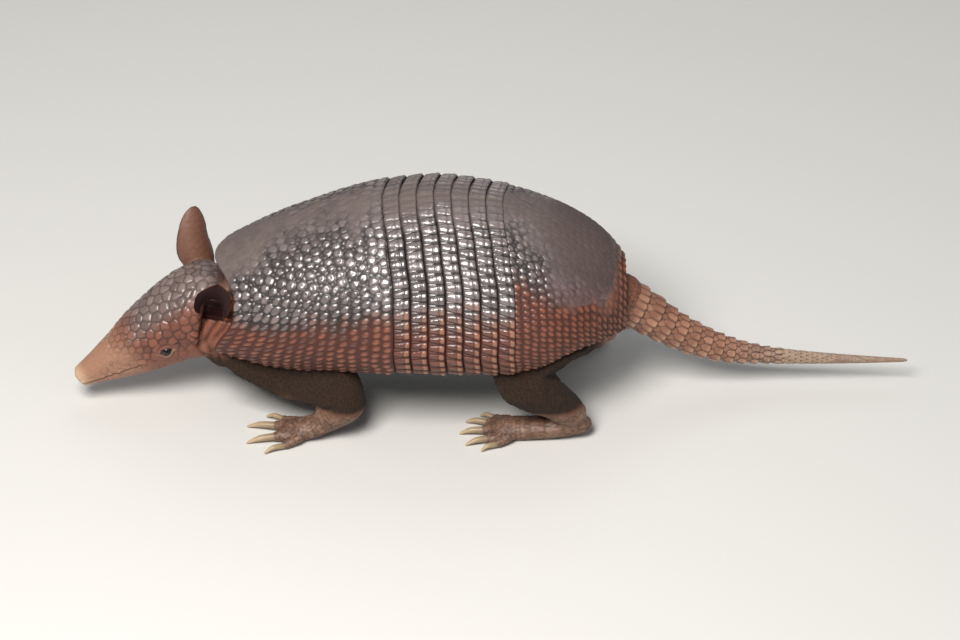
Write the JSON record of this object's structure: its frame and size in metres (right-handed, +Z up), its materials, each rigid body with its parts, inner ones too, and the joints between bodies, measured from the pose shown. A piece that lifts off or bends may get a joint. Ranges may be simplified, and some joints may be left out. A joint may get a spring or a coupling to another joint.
{
  "type": "armadillo",
  "caption": "Life-size standing seven-banded armadillo with its head lowered: domed plated shell with overlapping bands, long snout, upright ears and a ringed tail.",
  "frame": {"origin": "on the floor, under the middle of the animal's bounding box", "axes": "+X towards the tail, -X towards the nose, -Y the animal's left flank, +Z up"},
  "size_m": [0.4298, 0.1186, 0.1205],
  "materials": {
    "shell": "horny scutes over bone, satin, dark grey on the back and red-brown on the flanks",
    "skin": "leathery skin with small scales and wrinkles, matt, red-brown",
    "ear": "thin pebbled skin, matt, brown",
    "eye": "wet and near black",
    "claw": "horn, satin, yellowish brown"
  },
  "bodies": {
    "root": {"trunk": "skin", "neck": "skin", "head": "skin", "head_shield": "shell", "eye_left": "eye", "eye_right": "eye", "ear_left": "ear", "ear_right": "ear", "scapular_shield": "shell", "band_1": "shell", "band_2": "shell", "band_3": "shell", "band_4": "shell", "band_5": "shell", "band_6": "shell", "band_7": "shell", "pelvic_shield": "shell", "tail_ring_1": "shell", "tail_ring_2": "shell", "tail_ring_3": "shell", "tail_ring_4": "shell", "tail_ring_5": "shell", "tail_ring_6": "shell", "tail_ring_7": "shell", "tail_ring_8": "shell", "tail_ring_9": "shell", "tail_ring_10": "shell", "tail_ring_11": "shell", "tail_ring_12": "shell", "tail_tip": "shell", "fore_leg_left": "skin", "fore_foot_left": "skin", "fore_claw_left_1": "claw", "fore_claw_left_2": "claw", "fore_claw_left_3": "claw", "fore_claw_left_4": "claw", "fore_leg_right": "skin", "fore_foot_right": "skin", "fore_claw_right_1": "claw", "fore_claw_right_2": "claw", "fore_claw_right_3": "claw", "fore_claw_right_4": "claw", "hind_leg_left": "skin", "hind_foot_left": "skin", "hind_claw_left_1": "claw", "hind_claw_left_2": "claw", "hind_claw_left_3": "claw", "hind_claw_left_4": "claw", "hind_claw_left_5": "claw", "hind_leg_right": "skin", "hind_foot_right": "skin", "hind_claw_right_1": "claw", "hind_claw_right_2": "claw", "hind_claw_right_3": "claw", "hind_claw_right_4": "claw", "hind_claw_right_5": "claw"}
  },
  "joints": []
}
